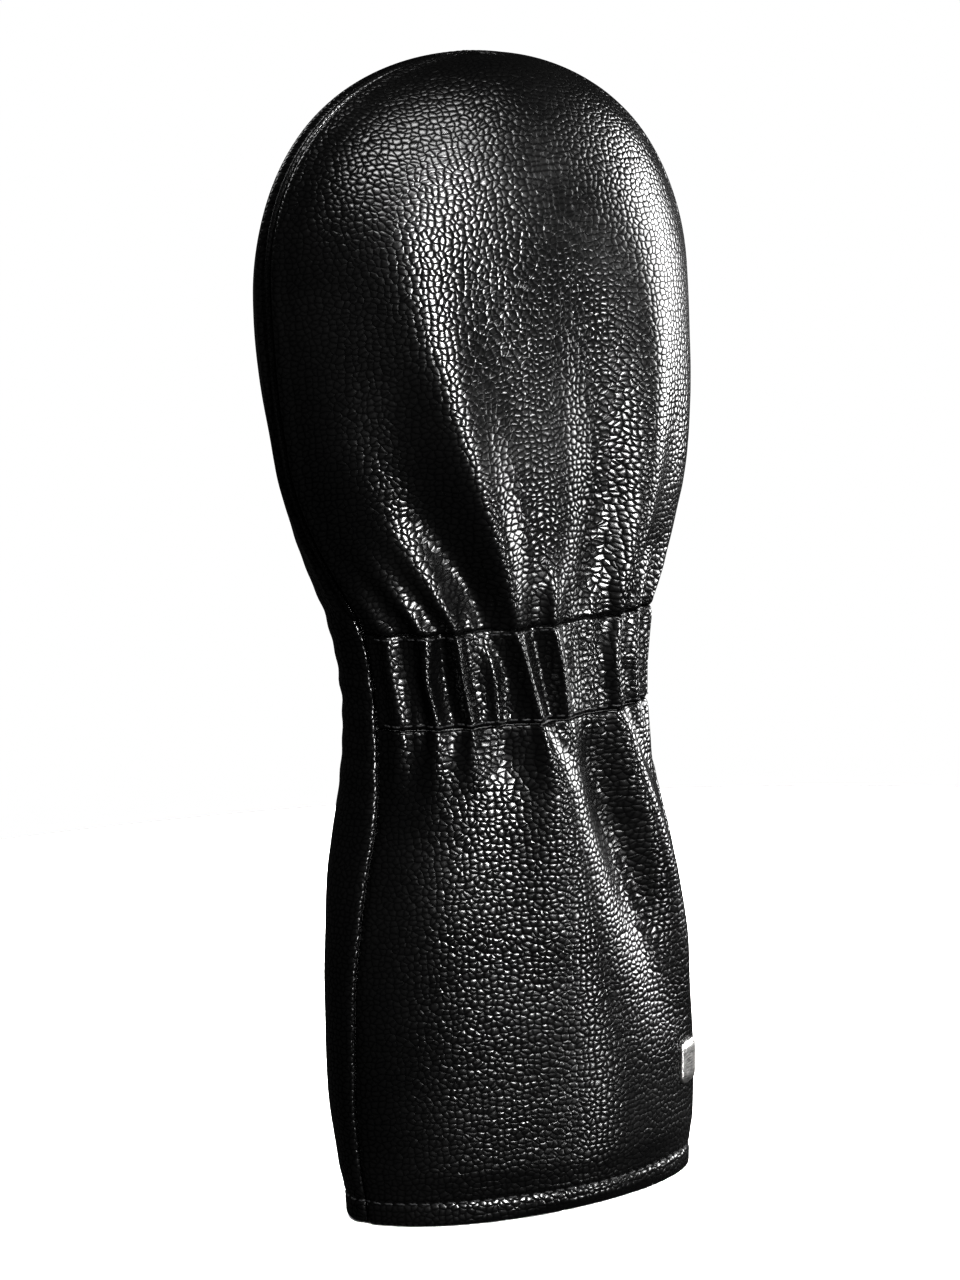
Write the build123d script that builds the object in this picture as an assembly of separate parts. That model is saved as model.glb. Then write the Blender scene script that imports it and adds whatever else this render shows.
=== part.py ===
from build123d import *
import math
import os

# Driver head cover: a leather bag on its hem, head up. Millimetres, +Z up.
# Origin: centre of the mouth, in the plane of the hem. The gathered side faces -Y,
# the plain side faces +Y. Sections across the bag are ellipses.

# ---- overall shape -------------------------------------------------------
overall_height = 340.0
dome_height = 60.0

hem_half_width = 56.5
hem_half_depth = 31.0
skirt_half_width = 58.0
skirt_half_depth = 32.0
neck_half_width = 47.0
neck_half_depth = 33.0
head_half_width = 67.5
head_half_depth = 38.0

skirt_widest_z = 30.0
neck_middle_z = 161.5
band_height = 28.0
head_straight_height = 34.0

# ---- layers, from the outside in ----------------------------------------
leather_thickness = 1.3
elastic_thickness = 1.5
padding_thickness = 4.0
lining_thickness = 1.5
tape_thickness = 0.5

# ---- seams, hem and thread ----------------------------------------------
crown_seam_y = -4.0
neck_seam_y = -10.0
skirt_seam_y = -13.0
hem_seam_y = -7.5
skirt_seam_z = 118.0
crown_seam_rise = 32.0

piping_diameter = 3.0
piping_core_diameter = 1.6
piping_standout = 1.0
tape_width = 8.0
hem_turn_height = 12.0
hem_stitch_z = 7.0
row_inset = 1.2
stitch_length = 2.9
stitch_pitch = 3.7
stitch_width = 0.6
stitch_standout = 0.4

# ---- badge ---------------------------------------------------------------
badge_width = 11.0
badge_height = 13.0
badge_thickness = 0.9
badge_backing_thickness = 0.7
badge_centre_z = 35.0
badge_seam_distance = 3.0
rivet_diameter = 1.6
rivet_spacing = 7.0
rivet_clearance = 0.1
badge_pocket_clearance = 0.2
badge_block_depth = 16.0

# ---- clearance between the stretching band and the rest ------------------
band_gap = 0.3

lower_row_z = neck_middle_z - band_height / 2
upper_row_z = neck_middle_z + band_height / 2
dome_base_z = overall_height - dome_height
head_widest_z = dome_base_z - head_straight_height
crown_seam_start_z = upper_row_z + crown_seam_rise
below_mouth = 15.0
reach = 2 * head_half_width


def between(low, high, share):
    """A value that lies the given share of the way from low to high."""
    return low + (high - low) * share


def sections():
    """Stations of the bag as (z, half width, half depth), from the mouth to its widest."""
    flare_z = between(skirt_widest_z, lower_row_z, 0.62)
    narrow_z = between(skirt_widest_z, lower_row_z, 0.87)
    cheek_z = between(upper_row_z, head_widest_z, 0.3)
    jaw_z = between(upper_row_z, head_widest_z, 0.62)
    return [
        (-below_mouth, hem_half_width, hem_half_depth),
        (0.0, hem_half_width, hem_half_depth),
        (skirt_widest_z, skirt_half_width, between(hem_half_depth, skirt_half_depth, 0.5)),
        (flare_z, between(neck_half_width, skirt_half_width, 0.6), skirt_half_depth),
        (narrow_z, between(neck_half_width, skirt_half_width, 0.14), neck_half_depth),
        (lower_row_z, neck_half_width, neck_half_depth),
        (upper_row_z, between(neck_half_width, head_half_width, 0.13), neck_half_depth),
        (cheek_z, between(neck_half_width, head_half_width, 0.5),
         between(neck_half_depth, head_half_depth, 0.4)),
        (jaw_z, between(neck_half_width, head_half_width, 0.85),
         between(neck_half_depth, head_half_depth, 0.8)),
        (head_widest_z, head_half_width, head_half_depth),
    ]


def padding_share(z):
    """0 in the neck and skirt, 1 in the head, with a skived edge above the upper row."""
    skive_end_z = between(upper_row_z, head_widest_z, 0.6)
    return min(1.0, max(0.0, (z - upper_row_z) / (skive_end_z - upper_row_z)))


def envelope(inset, padding_inset=0.0):
    """The bag as one solid, drawn in by inset, and in the head by padding_inset as well."""
    rings = []
    for z, half_width, half_depth in sections():
        depth = inset + padding_inset * padding_share(z)
        rings.append(Pos(0, 0, z) * Ellipse(half_width - depth, half_depth - depth))
    head_inset = inset + padding_inset
    head_outline = Ellipse(head_half_width - head_inset, head_half_depth - head_inset)
    straight = extrude(Pos(0, 0, head_widest_z) * head_outline, amount=head_straight_height)
    ball = scale(
        Sphere(1.0),
        by=(head_half_width - head_inset, head_half_depth - head_inset, dome_height - head_inset),
    )
    upper_half = Pos(0, 0, dome_height / 2) * Box(reach, reach, dome_height)
    dome = Pos(0, 0, dome_base_z) * (ball & upper_half)
    return loft(rings) + straight + dome


def seam_y(z):
    """How far forward the side seam runs at height z."""
    route = seam_route()
    for (low_z, low_y), (high_z, high_y) in zip(route, route[1:]):
        if z <= high_z:
            return between(low_y, high_y, (z - low_z) / (high_z - low_z))
    return crown_seam_y


def seam_route():
    """Corners of the side seam as (z, y); both sides are alike."""
    return [
        (-below_mouth, hem_seam_y),
        (0.0, hem_seam_y),
        (skirt_seam_z, skirt_seam_y),
        (lower_row_z, neck_seam_y),
        (upper_row_z, neck_seam_y),
        (crown_seam_start_z, crown_seam_y),
        (overall_height + below_mouth, crown_seam_y),
    ]


def seam_line(low_z, high_z, shift):
    """Points (y, z) along the side seam between two heights, moved along Y by shift."""
    heights = [low_z] + [z for z, y in seam_route() if low_z < z < high_z] + [high_z]
    return [(seam_y(z) + shift, z) for z in heights]


def side_region(low_z, high_z, near_shift, far_shift):
    """Everything between the seam moved by near_shift and the seam moved by far_shift."""
    outline = seam_line(low_z, high_z, near_shift) + seam_line(low_z, high_z, far_shift)[::-1]
    face = make_face(Plane.YZ * Polyline(*outline, close=True))
    return extrude(face, amount=reach, both=True)


def front_region(low_z, high_z, gap=0.0):
    """The gathered side between two heights, kept gap away from the seam."""
    return side_region(low_z, high_z, -gap, -reach)


def rear_region(low_z, high_z, gap=0.0):
    """The plain side between two heights, kept gap away from the seam."""
    return side_region(low_z, high_z, gap, reach)


def row_stations(z, outline, start_deg, end_deg):
    """Centres and headings of stitches, an even pitch apart along an ellipse."""
    half_width, half_depth = outline
    angle = math.radians(start_deg)
    end = math.radians(end_deg)
    stations = []
    while angle < end:
        speed = math.hypot(half_width * math.sin(angle), half_depth * math.cos(angle))
        heading = math.degrees(math.atan2(half_depth * math.cos(angle), -half_width * math.sin(angle)))
        x = half_width * math.cos(angle)
        y = half_depth * math.sin(angle)
        stations.append(Pos(x, y, z) * Rot(0, 0, heading))
        angle += stitch_pitch / speed
    return stations


def outline_at(z):
    """Half width and half depth of the outside at height z, between two stations."""
    rings = sections()
    for (low_z, low_a, low_b), (high_z, high_a, high_b) in zip(rings, rings[1:]):
        if z <= high_z:
            share = (z - low_z) / (high_z - low_z)
            return between(low_a, high_a, share), between(low_b, high_b, share)
    return head_half_width, head_half_depth


def stitch_row(z, start_deg, end_deg, outside):
    """A row of short thread lengths that lie on the leather."""
    bar = Box(stitch_length, 4 * stitch_standout, stitch_width)
    bars = [place * bar for place in row_stations(z, outline_at(z), start_deg, end_deg)]
    return Compound(children=[solid for piece in bars for solid in (piece - outside).solids()[-1:]])


outside = envelope(0.0)
under_leather = envelope(leather_thickness)
under_padding = envelope(leather_thickness + elastic_thickness, padding_thickness - elastic_thickness)
inside = envelope(
    leather_thickness + elastic_thickness + lining_thickness,
    padding_thickness - elastic_thickness,
)
tape_inside = envelope(
    leather_thickness + elastic_thickness + lining_thickness + tape_thickness,
    padding_thickness - elastic_thickness,
)

leather_layer = outside - under_leather
middle_layer = under_leather - under_padding
lining_layer = under_padding - inside
tape_layer = inside - tape_inside

crown_z = overall_height + below_mouth
half_piping = piping_diameter / 2
parts = {}


# ---- leather -------------------------------------------------------------
def hem_turn(side):
    """The edge of a panel, folded up on the inside of the mouth."""
    return middle_layer & side(0.0, hem_turn_height)


def make_leather():
    """The four leather pieces: head and skirt on the gathered side, the band, the plain side."""
    piped = side_region(upper_row_z, crown_z, -half_piping, half_piping)
    head_panel = leather_layer & front_region(upper_row_z + band_gap, crown_z, half_piping)
    skirt_panel = (leather_layer & front_region(0.0, lower_row_z - band_gap)) + hem_turn(front_region)
    plain_panel = (leather_layer & rear_region(0.0, crown_z)) + hem_turn(rear_region)
    parts["gathered_head_panel"] = head_panel
    parts["gathered_skirt_panel"] = skirt_panel - rivet_holes()
    parts["plain_panel"] = plain_panel - piped
    parts["neck_band_leather"] = leather_layer & front_region(lower_row_z, upper_row_z, band_gap)


# ---- piping --------------------------------------------------------------
def make_piping():
    """A cord wrapped in a leather strip, caught in the seam over the head."""
    slot = side_region(upper_row_z + band_gap, crown_z, -half_piping, half_piping)
    cord_half = piping_core_diameter / 2
    cord_slot = side_region(upper_row_z + band_gap, crown_z, -cord_half, cord_half)
    wall = (piping_diameter - piping_core_diameter) / 2
    strip = (envelope(-piping_standout) - envelope(piping_diameter - piping_standout)) & slot
    cord_ring = envelope(wall - piping_standout) - envelope(piping_diameter - piping_standout - wall)
    cord = cord_ring & cord_slot
    parts["piping_core"] = cord
    parts["piping_cover"] = strip - cord


# ---- padding, elastic and lining ----------------------------------------
def make_inner_layers():
    """Foam, elastic webbing and lining, each laid against the layer outside it."""
    piping_depth = envelope(piping_diameter - piping_standout)
    seam_slot = side_region(upper_row_z, crown_z, -half_piping, half_piping)
    room_for_piping = seam_slot - piping_depth
    front_head = front_region(upper_row_z + band_gap, crown_z)
    front_band = front_region(lower_row_z, upper_row_z, band_gap)
    front_skirt = front_region(hem_turn_height, lower_row_z - band_gap)
    rear_head = rear_region(upper_row_z, crown_z)
    rear_skirt = rear_region(hem_turn_height, upper_row_z)
    parts["head_padding_front"] = (middle_layer & front_head) - room_for_piping
    parts["head_padding_rear"] = (middle_layer & rear_head) - room_for_piping
    parts["skirt_interlining_front"] = (middle_layer & front_skirt) - badge_pocket()
    parts["skirt_interlining_rear"] = middle_layer & rear_skirt
    parts["neck_elastic"] = middle_layer & front_band
    parts["head_lining_front"] = lining_layer & front_head
    parts["skirt_lining_front"] = lining_layer & front_skirt
    parts["neck_band_lining"] = lining_layer & front_band
    parts["lining_rear"] = lining_layer & rear_region(hem_turn_height, crown_z)


def make_seam_tapes():
    """Cotton tape over the raw seam edges, from the hem to the crown on each side."""
    strip = tape_layer & side_region(hem_turn_height, crown_z, 0.0, tape_width)
    half_space = Pos(reach / 2, 0, crown_z / 2) * Box(reach, reach, crown_z)
    parts["seam_tape_right"] = strip & half_space
    parts["seam_tape_left"] = strip - half_space


# ---- thread --------------------------------------------------------------
def make_stitching():
    """Rows that hold the elastic on the gathered side, and the row round the hem."""
    seam_angle = math.degrees(math.asin(-neck_seam_y / neck_half_depth))
    stop_short = 3.0
    row_start = 180.0 + seam_angle + stop_short
    row_end = 360.0 - seam_angle - stop_short
    parts["upper_neck_stitching"] = stitch_row(upper_row_z - row_inset, row_start, row_end, outside)
    parts["lower_neck_stitching"] = stitch_row(lower_row_z + row_inset, row_start, row_end, outside)
    parts["hem_stitching"] = stitch_row(hem_stitch_z, 0.0, 359.0, outside)


# ---- badge ---------------------------------------------------------------
def badge_place():
    """The badge's centre on the right of the skirt, in front of the seam, facing outwards."""
    half_width, half_depth = outline_at(badge_centre_z)
    seam_angle = math.asin(seam_y(badge_centre_z) / half_depth)
    speed = math.hypot(half_width * math.sin(seam_angle), half_depth * math.cos(seam_angle))
    angle = math.degrees(seam_angle - (badge_seam_distance + badge_width / 2) / speed)
    return row_stations(badge_centre_z, (half_width, half_depth), angle, angle + 0.01)[0]


def badge_window(margin):
    """A block over the badge's place, square to the leather there."""
    block = Box(badge_width + 2 * margin, badge_block_depth, badge_height + 2 * margin)
    return badge_place() * block


def badge_rivets(clearance):
    """Two rivets, one above the other, that hold the badge through the leather."""
    rivet = Rot(90, 0, 0) * Cylinder(rivet_diameter / 2 + clearance, badge_block_depth)
    rise = rivet_spacing / 2
    return (badge_place() * Pos(0, 0, rise) * rivet) + (badge_place() * Pos(0, 0, -rise) * rivet)


def rivet_holes():
    """Holes for the rivets, through the leather only."""
    return badge_rivets(rivet_clearance) & leather_layer


def badge_pocket():
    """The cut in the interlining that the backing plate sits in."""
    return badge_window(badge_pocket_clearance)


def make_badge():
    """A blank plate outside the skirt, a backing plate behind the leather, and their rivets."""
    plate = (envelope(-badge_thickness) - outside) & badge_window(0.0)
    parts["badge_plate"] = plate
    parts["badge_rivets"] = badge_rivets(0.0) & leather_layer
    backing_layer = under_leather - envelope(leather_thickness + badge_backing_thickness)
    parts["badge_backing_plate"] = backing_layer & badge_window(0.0)


make_leather()
make_piping()
make_inner_layers()
make_seam_tapes()
make_stitching()
make_badge()

os.makedirs("parts", exist_ok=True)
for name, shape in parts.items():
    export_step(shape, f"parts/{name}.step")
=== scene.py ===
import math

import bpy
import numpy as np
from mathutils import Matrix, Vector
from mathutils.bvhtree import BVHTree


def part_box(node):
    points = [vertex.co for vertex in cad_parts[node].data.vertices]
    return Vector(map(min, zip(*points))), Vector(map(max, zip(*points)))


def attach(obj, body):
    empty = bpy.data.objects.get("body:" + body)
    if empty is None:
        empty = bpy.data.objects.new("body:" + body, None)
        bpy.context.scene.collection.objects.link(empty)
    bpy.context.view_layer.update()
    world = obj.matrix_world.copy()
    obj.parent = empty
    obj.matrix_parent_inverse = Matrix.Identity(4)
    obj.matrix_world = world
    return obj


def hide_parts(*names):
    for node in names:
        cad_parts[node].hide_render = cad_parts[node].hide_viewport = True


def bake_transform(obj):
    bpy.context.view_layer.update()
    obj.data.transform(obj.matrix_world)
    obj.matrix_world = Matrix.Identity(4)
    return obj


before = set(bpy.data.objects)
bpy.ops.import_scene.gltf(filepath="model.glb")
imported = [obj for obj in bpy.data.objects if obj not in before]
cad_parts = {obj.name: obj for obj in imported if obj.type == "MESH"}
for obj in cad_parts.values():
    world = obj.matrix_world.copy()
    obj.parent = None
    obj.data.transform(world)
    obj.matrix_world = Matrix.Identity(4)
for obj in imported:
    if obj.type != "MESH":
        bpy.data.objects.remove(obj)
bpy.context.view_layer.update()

MM = 0.001

# ---- driving sizes, in millimetres, from the frame -------------------------
crown_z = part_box("plain_panel")[1].z / MM - 1.5
lower_row_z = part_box("neck_band_leather")[0].z / MM
upper_row_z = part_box("neck_band_leather")[1].z / MM
neck_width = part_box("neck_elastic")[1].x / MM + 0.9
neck_depth = -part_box("neck_band_leather")[0].y / MM
head_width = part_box("head_padding_rear")[1].x / MM + 0.6
head_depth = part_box("plain_panel")[1].y / MM
hem_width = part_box("hem_stitching")[1].x / MM - 1.2
hem_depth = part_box("hem_stitching")[1].y / MM - 0.9
badge_low, badge_high = (np.array(corner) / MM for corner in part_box("badge_plate"))

# ---- sizes of the pieces, the folds and the neck's travel, in millimetres -----
leather = 1.3
elastic = 1.5
padding = 4.0
lining = 1.5
tape = 0.5
tape_width = 8.0
tape_from_seam = 1.2
layer_play = 0.08
fold_clearance = 0.55
dome_rise = 66.0
dome_roundness = 2.15
crown_lean = 3.0
head_seam_y = -4.0
neck_seam_y = -10.0
skirt_seam_y = -13.0
skirt_seam_z = 118.0
hem_seam_y = -7.5
piping_radius = 1.15
piping_depth = 0.75
hem_turn = 12.0
hem_roll = 1.35
hem_row_z = 7.0
thread_radius = 0.27
stitch_length = 2.8
stitch_pitch = 3.7
row_inset = 1.3
row_gap = 0.15
row_pinch = 0.16
pucker_height = 0.32
pucker_reach = 4.5
fold_gain = 1.4
skirt_flare = 3.0
band_travel_reach = 23.0
head_fade = 40.0
skirt_fade = 60.0
badge_width = 11.0
badge_thickness = 0.9
badge_corner = 2.2
badge_eased_edge = 0.28
inner_columns = 70
inner_step = 3.0
seam_step = 1.6

dome_base_z = crown_z - dome_rise
neck_z = (lower_row_z + upper_row_z) / 2


# ---- the bag's shape -------------------------------------------------------
def smooth(z, heights, values, reach):
    """Values drawn through the stations and rounded off over the given reach."""
    offsets = np.linspace(-1.6, 1.6, 9)
    weights = np.exp(-offsets ** 2)
    total = sum(w * np.interp(z + o * reach, heights, values) for o, w in zip(offsets, weights))
    return total / weights.sum()


def half_width(z):
    """Half width across X at height z, under the dome."""
    neck, head, hem = neck_width, head_width, hem_width
    skirt = hem + skirt_flare
    low, top = lower_row_z, upper_row_z
    heights = [0, 14, 34, 0.50 * low, 0.70 * low, 0.88 * low, low,
               (low + top) / 2, top + 3, top + 22, top + 45, top + 68, top + 88]
    values = [hem + 0.2, hem + 1.2, skirt, skirt - 0.8, neck + 0.62 * (skirt - neck),
              neck + 0.13 * (skirt - neck), neck - 0.6, neck - 0.4, neck + 0.12 * (head - neck),
              neck + 0.50 * (head - neck), neck + 0.86 * (head - neck), head - 0.4, head]
    return smooth(z, heights, values, 6.0)


def half_depth(z):
    """Half depth across Y at height z, under the dome."""
    low, top = lower_row_z, upper_row_z
    heights = [0, 20, 0.45 * low, 0.82 * low, low, top, top + 22, top + 46, top + 78]
    values = [hem_depth, hem_depth + 0.6, hem_depth + 1.2, neck_depth - 0.2, neck_depth - 0.5, neck_depth,
              neck_depth + 2.2, head_depth - 0.9, head_depth]
    return smooth(z, heights, values, 7.0)


def seam_y(z):
    """How far forward the side seams run at height z, under the dome."""
    heights = [0, skirt_seam_z, lower_row_z, upper_row_z, upper_row_z + 32, crown_z]
    values = [hem_seam_y, skirt_seam_y, neck_seam_y, neck_seam_y, head_seam_y, head_seam_y]
    return smooth(z, heights, values, 5.0)


def stations(low, high, step, fine=(), fine_step=0.5, fine_reach=2.5):
    """Heights from low to high, closer together near the heights in fine."""
    heights = [low]
    while heights[-1] < high - 1e-6:
        near = any(abs(heights[-1] - f) < fine_reach for f in fine)
        heights.append(min(high, heights[-1] + (fine_step if near else step)))
    if len(heights) > 2 and heights[-1] - heights[-2] < 0.3 * fine_step:
        del heights[-2]
    return np.array(heights)


def dome_angles(step):
    """Latitudes of the dome, from its base to just short of the crown."""
    return np.linspace(0.0, math.pi / 2, int(115 / step))[1:] * (1 - 1e-4)


def ring_table(heights, with_dome, step):
    """Height, half width, half depth, Y shift and seam Y of every ring of a panel."""
    z = np.array(heights, float)
    rings = np.stack([z, half_width(z), half_depth(z), np.zeros_like(z), seam_y(z)], 1)
    if with_dome:
        angle = dome_angles(step)
        share = np.cos(angle) ** (2 / dome_roundness)
        rise = np.sin(angle) ** (2 / dome_roundness)
        dome = np.stack([dome_base_z + dome_rise * rise, head_width * share, head_depth * share,
                         -crown_lean * (1 - share), np.full_like(angle, head_seam_y)], 1)
        rings = np.concatenate([rings, dome])
    return rings


def panel_points(rings, columns, front, margin=0.0):
    """Points of a panel, ring by ring, and each point's distance along the ring from its middle."""
    z, a, b, shift, seam = rings.T
    lean = np.arcsin(np.clip((seam - shift) / b, -0.999, 0.999))
    start, end = (-math.pi - lean, lean) if front else (lean, math.pi - lean)
    t = start[:, None] + (end - start)[:, None] * np.linspace(0, 1, 361)
    speed = np.hypot(a[:, None] * np.sin(t), b[:, None] * np.cos(t))
    pieces = (speed[:, 1:] + speed[:, :-1]) / 2 * np.diff(t, axis=1)
    length = np.concatenate([np.zeros((len(z), 1)), np.cumsum(pieces, 1)], 1)
    total = length[:, -1]
    trim = np.minimum(margin, 0.25 * total)
    share = np.linspace(0, 1, columns)
    wanted = trim[:, None] + (total - 2 * trim)[:, None] * share
    angle = np.array([np.interp(w, row, ts) for w, row, ts in zip(wanted, length, t)])
    x = a[:, None] * np.cos(angle)
    y = shift[:, None] + b[:, None] * np.sin(angle)
    points = np.stack([x, y, np.broadcast_to(z[:, None], x.shape)], 2)
    along = wanted - total[:, None] / 2
    if not front:
        along = -along
    return points, along, total


def normals_of(points):
    """Outward unit normals of a grid of points."""
    du = np.gradient(points, axis=1)
    dv = np.gradient(points, axis=0)
    n = np.cross(du, dv)
    n /= np.maximum(np.linalg.norm(n, axis=2, keepdims=True), 1e-9)
    outward = (n[:, :, :2] * points[:, :, :2]).sum()
    return n if outward > 0 else -n


# ---- folds ------------------------------------------------------------------
# A fold is a route away from a stitched row: distance from the row, place across the
# gathered side (-1 at the left seam, 1 at the right), how far it stands out and how wide
# it is. On the band the distance is a share of the way from the lower row to the upper.
head_folds = [
    [(0, -0.15, 2.9, 2.9), (8, -0.165, 3.8, 4.2), (24, -0.195, 4.3, 6.8), (46, -0.25, 4.1, 9.4),
     (72, -0.33, 3.1, 12.0), (98, -0.40, 1.8, 15.0), (126, -0.45, 0.4, 18.0), (140, -0.46, 0.0, 20.0)],
    [(0, 0.49, 2.9, 3.0), (8, 0.49, 3.7, 4.2), (26, 0.50, 3.9, 6.8), (52, 0.51, 3.4, 9.4),
     (82, 0.52, 2.3, 12.0), (112, 0.53, 0.8, 16.0), (132, 0.54, 0.0, 18.0)],
    [(0, -0.46, 2.3, 2.3), (8, -0.49, 2.4, 3.4), (18, -0.54, 1.3, 4.8), (34, -0.60, 0.0, 7.0)],
    [(0, -0.62, 2.3, 2.4), (7, -0.66, 2.0, 3.2), (18, -0.72, 1.0, 4.6), (32, -0.78, 0.0, 6.5)],
    [(0, 0.06, 2.6, 2.3), (8, 0.075, 2.2, 3.0), (16, 0.085, 0.8, 4.0), (26, 0.09, 0.0, 5.0)],
    [(0, 0.84, 2.1, 2.5), (12, 0.86, 2.0, 3.8), (28, 0.88, 0.8, 6.0), (46, 0.9, 0.0, 8.0)],
    [(0, 0.67, 1.9, 2.1), (8, 0.68, 1.3, 3.0), (18, 0.69, 0.0, 4.0)],
    [(0, -0.84, 1.6, 2.6), (10, -0.87, 1.4, 3.8), (26, -0.90, 0.0, 5.0)],
    [(0, 0.27, -0.9, 3.0), (14, 0.29, -2.0, 5.4), (34, 0.29, -2.4, 8.8), (60, 0.28, -2.1, 11.5),
     (88, 0.25, -1.2, 14.0), (116, 0.22, 0.0, 17.0)],
    [(16, 0.76, 0.0, 9.0), (34, 0.76, 1.6, 11.0), (60, 0.75, 1.9, 13.0), (90, 0.74, 1.2, 15.0),
     (120, 0.72, 0.0, 18.0)],
    [(0, -0.31, -0.9, 2.5), (12, -0.34, -2.2, 4.2), (32, -0.46, -2.0, 8.0), (60, -0.58, -0.8, 12.0),
     (84, -0.62, 0.0, 14.0)],
]
band_folds = [
    [(0, -0.60, 2.2, 2.2), (0.54, -0.645, 2.8, 2.0), (1, -0.62, 2.3, 2.4)],
    [(0, -0.42, 2.0, 2.0), (0.54, -0.455, 2.7, 1.8), (1, -0.46, 2.3, 2.3)],
    [(0, -0.04, 2.8, 2.9), (0.54, -0.10, 3.2, 2.1), (1, -0.15, 2.9, 2.9)],
    [(0, 0.13, 2.3, 2.3), (0.54, 0.10, 2.9, 1.9), (1, 0.06, 2.6, 2.3)],
    [(0, 0.50, 2.8, 3.0), (0.54, 0.46, 3.0, 2.2), (1, 0.49, 2.9, 3.0)],
    [(0, 0.70, 1.7, 2.0), (0.54, 0.665, 2.3, 1.9), (1, 0.67, 1.9, 2.1)],
    [(0, 0.86, 1.7, 2.4), (0.54, 0.85, 2.2, 2.2), (1, 0.84, 2.1, 2.5)],
    [(0, -0.82, 1.4, 2.6), (0.54, -0.84, 1.7, 2.4), (1, -0.84, 1.6, 2.6)],
    [(0, -0.26, 0.4, 2.2), (0.54, -0.28, 0.9, 1.8), (1, -0.29, 0.3, 2.0)],
    [(0, 0.31, -0.6, 3.4), (0.54, 0.29, -0.9, 3.0), (1, 0.27, -0.9, 3.0)],
    [(0, 0.045, -0.7, 1.8), (0.54, 0.0, -0.9, 1.7), (1, -0.04, -0.7, 1.8)],
    [(0, -0.51, -0.7, 1.8), (0.54, -0.55, -0.9, 1.8), (1, -0.54, -0.8, 1.8)],
    [(0, -0.22, -0.6, 2.6), (0.54, -0.20, -0.8, 2.0), (1, -0.31, -0.6, 2.4)],
]
skirt_folds = [
    [(0, -0.04, 2.8, 3.0), (8, 0.00, 3.4, 4.8), (19, 0.06, 3.5, 8.0), (40, 0.10, 3.5, 13.0),
     (62, 0.12, 3.4, 17.0), (88, 0.14, 3.0, 20.0), (118, 0.18, 2.0, 23.0), (146, 0.22, 0.8, 25.0)],
    [(0, 0.50, 2.8, 3.0), (10, 0.56, 3.4, 4.8), (28, 0.66, 3.6, 7.2), (52, 0.76, 2.8, 9.4),
     (76, 0.83, 1.5, 11.0), (98, 0.87, 0.4, 12.0), (116, 0.9, 0.0, 13.0)],
    [(0, -0.60, 2.2, 2.4), (8, -0.62, 1.6, 3.6), (20, -0.66, 0.5, 5.5), (32, -0.70, 0.0, 8.0)],
    [(0, 0.13, 2.3, 2.3), (7, 0.15, 1.4, 3.0), (15, 0.17, 0.0, 4.0)],
    [(0, -0.42, 2.0, 2.2), (8, -0.43, 1.3, 3.2), (19, -0.44, 0.0, 4.5)],
    [(0, 0.72, 1.6, 2.2), (8, 0.76, 1.0, 3.2), (18, 0.82, 0.0, 4.0)],
    [(0, -0.82, 1.5, 2.8), (10, -0.85, 1.2, 3.8), (26, -0.88, 0.0, 5.0)],
    [(0, 0.86, 1.7, 2.5), (8, 0.88, 1.5, 3.4), (26, 0.9, 0.0, 5.0)],
    [(0, 0.31, -0.8, 3.4), (13, 0.34, -2.4, 5.4), (34, 0.42, -3.4, 7.6), (58, 0.52, -2.8, 9.2),
     (82, 0.62, -1.3, 10.5), (104, 0.66, 0.0, 12.0)],
    [(0, -0.24, -0.8, 2.6), (8, -0.25, -1.2, 3.4), (18, -0.26, 0.0, 4.6)],
]
folds = {"head": head_folds, "band": band_folds, "skirt": skirt_folds}


def fold_height(zone, z, along, total):
    """How far the folds raise each point of a grid."""
    raised = np.zeros_like(along)
    half = total[:, None] / 2
    from_row = {"head": z - upper_row_z, "band": z - lower_row_z, "skirt": lower_row_z - z}[zone]
    unit = upper_row_z - lower_row_z if zone == "band" else 1.0
    for route in folds[zone]:
        reach = [r[0] * unit for r in route]
        place = smooth(from_row, reach, [r[1] for r in route], 2.5)[:, None] * half
        size = smooth(from_row, reach, [r[2] for r in route], 2.0)[:, None]
        width = smooth(from_row, reach, [r[3] for r in route], 2.5)[:, None]
        inside = ((from_row >= -0.6) & (from_row <= reach[-1]))[:, None]
        raised += inside * size * np.exp(-(((along - place) / width) ** 2))
    return raised * fold_gain


def puckers(z, along, row_z, reach, size):
    """Small even puckers that the stitches draw up beside a row, fading away from it."""
    wave = np.cos(along * 2 * math.pi / 6.3 + 0.8 * np.sin(along * 0.21))
    wave += 0.6 * np.cos(along * 2 * math.pi / 3.9 + 1.7)
    return size * wave * np.exp(-np.abs(z - row_z)[:, None] / reach)


def groove(distance, depth, width):
    """A rounded channel along a seam or stitch row."""
    return -depth * np.exp(-((distance / width) ** 2))


def seam_roll(distance, piped):
    """Leather dips at a seam and rolls up beside it, most of all beside the piping."""
    roll = np.exp(-(((distance - 4.2) / 2.6) ** 2))
    roll_height = 0.9 * piped
    return roll_height * roll + groove(distance, 1.1 + 0.7 * piped, 1.5 + 0.5 * piped)


def soft_waves(points, scale_mm, size, seed):
    """Slow unevenness of stuffed leather, the same at every run."""
    draw = np.random.default_rng(seed)
    total = np.zeros(points.shape[:2])
    for _ in range(9):
        direction = draw.normal(size=3)
        direction /= np.linalg.norm(direction)
        pitch = scale_mm * draw.uniform(0.7, 1.8)
        total += np.cos(points @ direction * 2 * math.pi / pitch + draw.uniform(0, 6.28))
    return size * total / 3


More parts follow.
